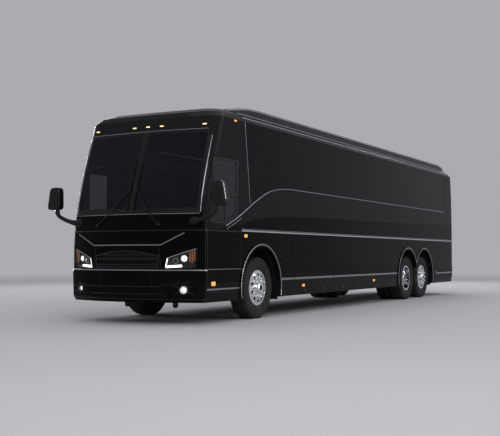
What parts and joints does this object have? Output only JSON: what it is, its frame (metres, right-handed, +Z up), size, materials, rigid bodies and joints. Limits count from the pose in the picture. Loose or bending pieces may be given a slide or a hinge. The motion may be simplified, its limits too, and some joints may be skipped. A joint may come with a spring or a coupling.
{
  "type": "three-axle intercity coach bus",
  "caption": "Long high-floor touring coach with a raked windshield, tandem rear axles, opening luggage-bay doors, entry door, turning wheels and steering.",
  "frame": {"origin": "on the ground under the middle of the vehicle's overall box", "axes": "+X forward, +Y to the driver's side (left), +Z up"},
  "size_m": [14.23, 3.48, 3.64],
  "materials": {
    "body_black": "gloss",
    "body_grey": "gloss",
    "glass_dark": "tinted",
    "trim_black": "satin",
    "tyre": "matte",
    "wheel": "polished",
    "chassis": "satin",
    "cast": "raw",
    "bellows": "matte",
    "lamp_clear": "clear",
    "lamp_amber": "gloss",
    "lamp_red": "gloss",
    "floor": "matte",
    "bay_metal": "satin",
    "seat_fabric": "woven",
    "dash_plastic": "grained",
    "rack_plastic": "satin"
  },
  "bodies": {
    "body": {"left_lower_side": "body_black", "right_lower_side": "body_black", "left_upper_side": "body_black", "right_upper_side": "body_black", "right_side_glass": "glass_dark", "front_cap": "body_black", "windshield": "glass_dark", "left_side_glass": "glass_dark", "roof_panel": "body_black", "roof_fairings": "body_grey", "rear_cap": "body_black", "rear_window": "glass_dark", "rear_bumper": "body_black", "front_fascia": "body_black", "grille": "trim_black", "front_bumper": "body_black", "front_lamps": "lamp_clear", "marker_lamps": "lamp_amber", "tail_lamps": "lamp_red", "mirrors": "body_black", "wipers": "trim_black", "floor_structure": "floor", "luggage_bays": "bay_metal", "seats": "seat_fabric", "luggage_racks": "rack_plastic", "dashboard": "dash_plastic", "steering_wheel": "dash_plastic", "underframe": "chassis", "axles": "cast", "air_springs": "bellows", "engine_block": "cast"},
    "left_steering": {"left_knuckle": "cast"},
    "left_front_wheel": {"left_front_rim": "wheel", "left_front_tyre": "tyre"},
    "left_drive_wheels": {"left_drive_rims": "wheel", "left_drive_tyres": "tyre"},
    "left_tag_wheel": {"left_tag_rim": "wheel", "left_tag_tyre": "tyre"},
    "left_bay_door_1": {"left_bay_door_1": "body_black"},
    "left_bay_door_2": {"left_bay_door_2": "body_black"},
    "left_bay_door_3": {"left_bay_door_3": "body_black"},
    "left_rear_door": {"left_rear_door": "body_black"},
    "right_steering": {"right_knuckle": "cast"},
    "right_front_wheel": {"right_front_rim": "wheel", "right_front_tyre": "tyre"},
    "right_drive_wheels": {"right_drive_rims": "wheel", "right_drive_tyres": "tyre"},
    "right_tag_wheel": {"right_tag_rim": "wheel", "right_tag_tyre": "tyre"},
    "right_bay_door_1": {"right_bay_door_1": "body_black"},
    "right_bay_door_2": {"right_bay_door_2": "body_black"},
    "right_bay_door_3": {"right_bay_door_3": "body_black"},
    "right_rear_door": {"right_rear_door": "body_black"},
    "engine_door": {"engine_door": "body_black"},
    "entry_door": {"entry_door": "body_black", "entry_door_glass": "glass_dark"}
  },
  "joints": [
    {"name": "left_steer", "type": "hinge", "parent": "body", "child": "left_steering", "pos_m": [4.895, 0.903, 0.53], "axis": [0, 0, 1], "range_deg": [-38, 38]},
    {"name": "left_front_spin", "type": "hinge", "parent": "left_steering", "child": "left_front_wheel", "pos_m": [4.895, 1.085, 0.53], "axis": [0, 1, 0], "continuous": true},
    {"name": "left_drive_spin", "type": "hinge", "parent": "body", "child": "left_drive_wheels", "pos_m": [-2.955, 0.9375, 0.53], "axis": [0, 1, 0], "continuous": true},
    {"name": "left_tag_spin", "type": "hinge", "parent": "body", "child": "left_tag_wheel", "pos_m": [-4.255, 1.085, 0.53], "axis": [0, 1, 0], "continuous": true},
    {"name": "left_bay_door_1_hinge", "type": "hinge", "parent": "body", "child": "left_bay_door_1", "pos_m": [2.67, 1.295, 1.468], "axis": [1, 0, 0], "range_deg": [0, 85]},
    {"name": "left_bay_door_2_hinge", "type": "hinge", "parent": "body", "child": "left_bay_door_2", "pos_m": [0.8, 1.295, 1.468], "axis": [1, 0, 0], "range_deg": [0, 85]},
    {"name": "left_bay_door_3_hinge", "type": "hinge", "parent": "body", "child": "left_bay_door_3", "pos_m": [-1.15, 1.295, 1.468], "axis": [1, 0, 0], "range_deg": [0, 85]},
    {"name": "left_rear_door_hinge", "type": "hinge", "parent": "body", "child": "left_rear_door", "pos_m": [-6.1, 1.295, 1.468], "axis": [1, 0, 0], "range_deg": [0, 85]},
    {"name": "right_steer", "type": "hinge", "parent": "body", "child": "right_steering", "pos_m": [4.895, -0.903, 0.53], "axis": [0, 0, 1], "range_deg": [-38, 38]},
    {"name": "right_front_spin", "type": "hinge", "parent": "right_steering", "child": "right_front_wheel", "pos_m": [4.895, -1.085, 0.53], "axis": [0, 1, 0], "continuous": true},
    {"name": "right_drive_spin", "type": "hinge", "parent": "body", "child": "right_drive_wheels", "pos_m": [-2.955, -0.9375, 0.53], "axis": [0, 1, 0], "continuous": true},
    {"name": "right_tag_spin", "type": "hinge", "parent": "body", "child": "right_tag_wheel", "pos_m": [-4.255, -1.085, 0.53], "axis": [0, 1, 0], "continuous": true},
    {"name": "right_bay_door_1_hinge", "type": "hinge", "parent": "body", "child": "right_bay_door_1", "pos_m": [2.67, -1.295, 1.468], "axis": [-1, 0, 0], "range_deg": [0, 85]},
    {"name": "right_bay_door_2_hinge", "type": "hinge", "parent": "body", "child": "right_bay_door_2", "pos_m": [0.8, -1.295, 1.468], "axis": [-1, 0, 0], "range_deg": [0, 85]},
    {"name": "right_bay_door_3_hinge", "type": "hinge", "parent": "body", "child": "right_bay_door_3", "pos_m": [-1.15, -1.295, 1.468], "axis": [-1, 0, 0], "range_deg": [0, 85]},
    {"name": "right_rear_door_hinge", "type": "hinge", "parent": "body", "child": "right_rear_door", "pos_m": [-6.1, -1.295, 1.468], "axis": [-1, 0, 0], "range_deg": [0, 85]},
    {"name": "engine_door_hinge", "type": "hinge", "parent": "body", "child": "engine_door", "pos_m": [-7.085, 0, 1.754], "axis": [0, 1, 0], "range_deg": [0, 85]},
    {"name": "entry_door_hinge", "type": "hinge", "parent": "body", "child": "entry_door", "pos_m": [6.519, -1.295, 0.95], "axis": [0, 0, 1], "range_deg": [0, 85]}
  ],
  "couplings": [
    {"joint": "right_steer", "follows": "left_steer", "ratio": 1}
  ]
}
